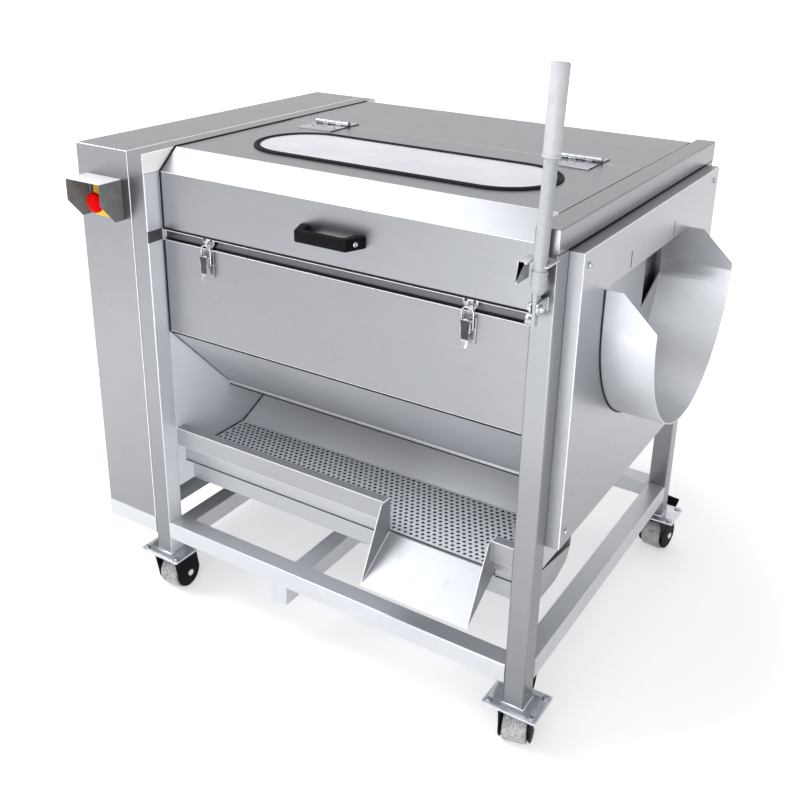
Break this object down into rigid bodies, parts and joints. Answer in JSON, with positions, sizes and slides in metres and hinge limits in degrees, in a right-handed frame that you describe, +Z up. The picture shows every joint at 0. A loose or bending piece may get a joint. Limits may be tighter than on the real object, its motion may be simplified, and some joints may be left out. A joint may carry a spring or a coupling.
{
  "type": "potato peeling machine",
  "caption": "Wheeled floor-standing potato washer and peeler: brush rollers in a stainless housing with a hinged windowed lid, strainer, front spout and a lever-worked side discharge scoop.",
  "frame": {"origin": "on the floor under the wheels, at the centre of the whole machine's outer box", "axes": "+X from the drive cabinet towards the discharge scoop, +Y from the front with spout and handle to the back, +Z up"},
  "size_m": [1.14, 0.908, 1.2259],
  "materials": {
    "stainless_sheet": "fine brushed stainless sheet with bright bends",
    "stainless_frame": "satin stainless square tube",
    "polished_fittings": "bright stainless fittings",
    "lever_paint": "light grey coated steel",
    "grip_plastic": "smooth light grey grip sleeve",
    "black_plastic": "satin black moulded plastic",
    "black_rubber": "dull black rubber profile",
    "clear_pane": "clear sheet with a pale sheen",
    "yellow_plate": "plain yellow plate",
    "red_plastic": "glossy red button",
    "brush_fibre": "dense pale nylon brush",
    "drive_steel": "oiled dark steel",
    "motor_paint": "blue-grey machine paint",
    "white_nylon": "off-white nylon tread"
  },
  "bodies": {
    "frame": {"drive_cabinet": "stainless_sheet", "service_panel": "stainless_sheet", "end_walls": "stainless_sheet", "rear_panel": "stainless_sheet", "lower_front_panel": "stainless_sheet", "hopper_plate": "stainless_sheet", "strainer_tray": "stainless_sheet", "tray_beam": "stainless_sheet", "water_trough": "stainless_sheet", "discharge_spout": "stainless_sheet", "side_cover": "stainless_sheet", "scoop": "stainless_sheet", "gate_guides": "stainless_sheet", "switch_hood": "stainless_sheet", "upright_frame": "stainless_frame", "base_rails": "stainless_frame", "caster_plates": "stainless_frame", "notch_bracket": "stainless_frame", "cover_screws": "polished_fittings", "lever_clevis": "polished_fittings", "rear_hinge_leaves": "polished_fittings", "latch_bases": "polished_fittings", "spray_pipe": "polished_fittings", "cable_gland": "black_plastic", "switch_plate": "yellow_plate", "drive_chain": "drive_steel", "roller_bearings": "drive_steel", "gear_motor": "motor_paint"},
    "lid": {"lid": "stainless_sheet", "window_gasket": "black_rubber", "window_pane": "clear_pane", "lid_handle": "black_plastic", "lid_hinge_leaves": "polished_fittings"},
    "latch_left": {"latch_lever_left": "polished_fittings"},
    "latch_right": {"latch_lever_right": "polished_fittings"},
    "bail_left": {"latch_bail_left": "polished_fittings"},
    "bail_right": {"latch_bail_right": "polished_fittings"},
    "lever": {"gate_lever": "lever_paint", "lever_grip": "grip_plastic"},
    "rod": {"push_rod": "polished_fittings"},
    "crank": {"bell_crank": "polished_fittings"},
    "gate": {"gate": "stainless_sheet"},
    "button": {"stop_button": "red_plastic"},
    "motor_shaft": {"motor_sprocket": "drive_steel"},
    "roller_1": {"roller_1": "brush_fibre"},
    "roller_2": {"roller_2": "brush_fibre"},
    "roller_3": {"roller_3": "brush_fibre"},
    "roller_4": {"roller_4": "brush_fibre"},
    "roller_5": {"roller_5": "brush_fibre"},
    "roller_6": {"roller_6": "brush_fibre"},
    "roller_7": {"roller_7": "brush_fibre"},
    "fork_front_left": {"caster_fork_front_left": "black_plastic"},
    "wheel_front_left": {"caster_wheel_front_left": "white_nylon"},
    "fork_front_right": {"caster_fork_front_right": "black_plastic"},
    "wheel_front_right": {"caster_wheel_front_right": "white_nylon"},
    "fork_back_right": {"caster_fork_back_right": "black_plastic"},
    "wheel_back_right": {"caster_wheel_back_right": "white_nylon"},
    "fork_back_left": {"caster_fork_back_left": "black_plastic"},
    "wheel_back_left": {"caster_wheel_back_left": "white_nylon"}
  },
  "joints": [
    {"name": "lid_hinge", "type": "hinge", "parent": "frame", "child": "lid", "pos_m": [0.012, 0.04802, 0.992], "axis": [-1, 0, 0], "range_deg": [0, 80]},
    {"name": "latch_left_hinge", "type": "hinge", "parent": "frame", "child": "latch_left", "pos_m": [-0.273, -0.36598, 0.797], "axis": [-1, 0, 0], "range_deg": [0, 100]},
    {"name": "bail_left_hinge", "type": "hinge", "parent": "latch_left", "child": "bail_left", "pos_m": [-0.273, -0.36598, 0.783], "axis": [-1, 0, 0], "range_deg": [-100, 0]},
    {"name": "latch_right_hinge", "type": "hinge", "parent": "frame", "child": "latch_right", "pos_m": [0.291, -0.36598, 0.797], "axis": [-1, 0, 0], "range_deg": [0, 100]},
    {"name": "bail_right_hinge", "type": "hinge", "parent": "latch_right", "child": "bail_right", "pos_m": [0.291, -0.36598, 0.783], "axis": [-1, 0, 0], "range_deg": [-100, 0]},
    {"name": "lever_hinge", "type": "hinge", "parent": "frame", "child": "lever", "pos_m": [0.436, -0.42698, 0.87], "axis": [1, 0, 0], "range_deg": [0, 50]},
    {"name": "rod_slide", "type": "slide", "parent": "frame", "child": "rod", "axis": [0, 1, 0], "range_m": [0, 0.0184]},
    {"name": "crank_hinge", "type": "hinge", "parent": "frame", "child": "crank", "pos_m": [0.436, 0.04902, 0.87], "axis": [1, 0, 0], "range_deg": [0, 55]},
    {"name": "gate_slide", "type": "slide", "parent": "frame", "child": "gate", "axis": [0, 0, 1], "range_m": [0, 0.0785]},
    {"name": "button_slide", "type": "slide", "parent": "frame", "child": "button", "axis": [0, 1, 0], "range_m": [0, 0.004], "stiffness_N_per_m": 400, "springref_m": -0.002},
    {"name": "motor_spin", "type": "hinge", "parent": "frame", "child": "motor_shaft", "pos_m": [-0.455, -0.00548, 0.88], "axis": [1, 0, 0], "continuous": true},
    {"name": "roller_1_spin", "type": "hinge", "parent": "frame", "child": "roller_1", "pos_m": [0.012, -0.25925, 0.69484], "axis": [1, 0, 0], "continuous": true},
    {"name": "roller_2_spin", "type": "hinge", "parent": "frame", "child": "roller_2", "pos_m": [0.012, -0.20736, 0.593], "axis": [1, 0, 0], "continuous": true},
    {"name": "roller_3_spin", "type": "hinge", "parent": "frame", "child": "roller_3", "pos_m": [0.012, -0.11704, 0.52294], "axis": [1, 0, 0], "continuous": true},
    {"name": "roller_4_spin", "type": "hinge", "parent": "frame", "child": "roller_4", "pos_m": [0.012, -0.00548, 0.498], "axis": [1, 0, 0], "continuous": true},
    {"name": "roller_5_spin", "type": "hinge", "parent": "frame", "child": "roller_5", "pos_m": [0.012, 0.10607, 0.52294], "axis": [1, 0, 0], "continuous": true},
    {"name": "roller_6_spin", "type": "hinge", "parent": "frame", "child": "roller_6", "pos_m": [0.012, 0.19639, 0.593], "axis": [1, 0, 0], "continuous": true},
    {"name": "roller_7_spin", "type": "hinge", "parent": "frame", "child": "roller_7", "pos_m": [0.012, 0.24829, 0.69484], "axis": [1, 0, 0], "continuous": true},
    {"name": "swivel_front_left", "type": "hinge", "parent": "frame", "child": "fork_front_left", "pos_m": [-0.41, -0.37898, 0.096], "axis": [0, 0, 1], "continuous": true},
    {"name": "spin_front_left", "type": "hinge", "parent": "fork_front_left", "child": "wheel_front_left", "pos_m": [-0.4107, -0.359, 0.0375], "axis": [0.9994, 0.0349, 0], "continuous": true},
    {"name": "swivel_front_right", "type": "hinge", "parent": "frame", "child": "fork_front_right", "pos_m": [0.434, -0.37898, 0.096], "axis": [0, 0, 1], "continuous": true},
    {"name": "spin_front_right", "type": "hinge", "parent": "fork_front_right", "child": "wheel_front_right", "pos_m": [0.42916, -0.35958, 0.0375], "axis": [0.9703, 0.2419, 0], "continuous": true},
    {"name": "swivel_back_right", "type": "hinge", "parent": "frame", "child": "fork_back_right", "pos_m": [0.434, 0.36802, 0.096], "axis": [0, 0, 1], "continuous": true},
    {"name": "spin_back_right", "type": "hinge", "parent": "fork_back_right", "child": "wheel_back_right", "pos_m": [0.43678, 0.38782, 0.0375], "axis": [0.9903, -0.1392, 0], "continuous": true},
    {"name": "swivel_back_left", "type": "hinge", "parent": "frame", "child": "fork_back_left", "pos_m": [-0.41, 0.36802, 0.096], "axis": [0, 0, 1], "continuous": true},
    {"name": "spin_back_left", "type": "hinge", "parent": "fork_back_left", "child": "wheel_back_left", "pos_m": [-0.3903, 0.37149, 0.0375], "axis": [0.1736, -0.9848, 0], "continuous": true}
  ],
  "couplings": [
    {"joint": "bail_left_hinge", "follows": "latch_left_hinge", "ratio": -1},
    {"joint": "bail_right_hinge", "follows": "latch_right_hinge", "ratio": -1},
    {"joint": "rod_slide", "follows": "lever_hinge", "m_per_rad": 0.021068},
    {"joint": "crank_hinge", "follows": "lever_hinge", "ratio": 1.1},
    {"joint": "gate_slide", "follows": "lever_hinge", "m_per_rad": 0.089951},
    {"joint": "roller_2_spin", "follows": "roller_1_spin", "ratio": 1},
    {"joint": "roller_3_spin", "follows": "roller_1_spin", "ratio": 1},
    {"joint": "roller_4_spin", "follows": "roller_1_spin", "ratio": 1},
    {"joint": "roller_5_spin", "follows": "roller_1_spin", "ratio": 1},
    {"joint": "roller_6_spin", "follows": "roller_1_spin", "ratio": 1},
    {"joint": "roller_7_spin", "follows": "roller_1_spin", "ratio": 1},
    {"joint": "motor_spin", "follows": "roller_1_spin", "ratio": 1}
  ]
}
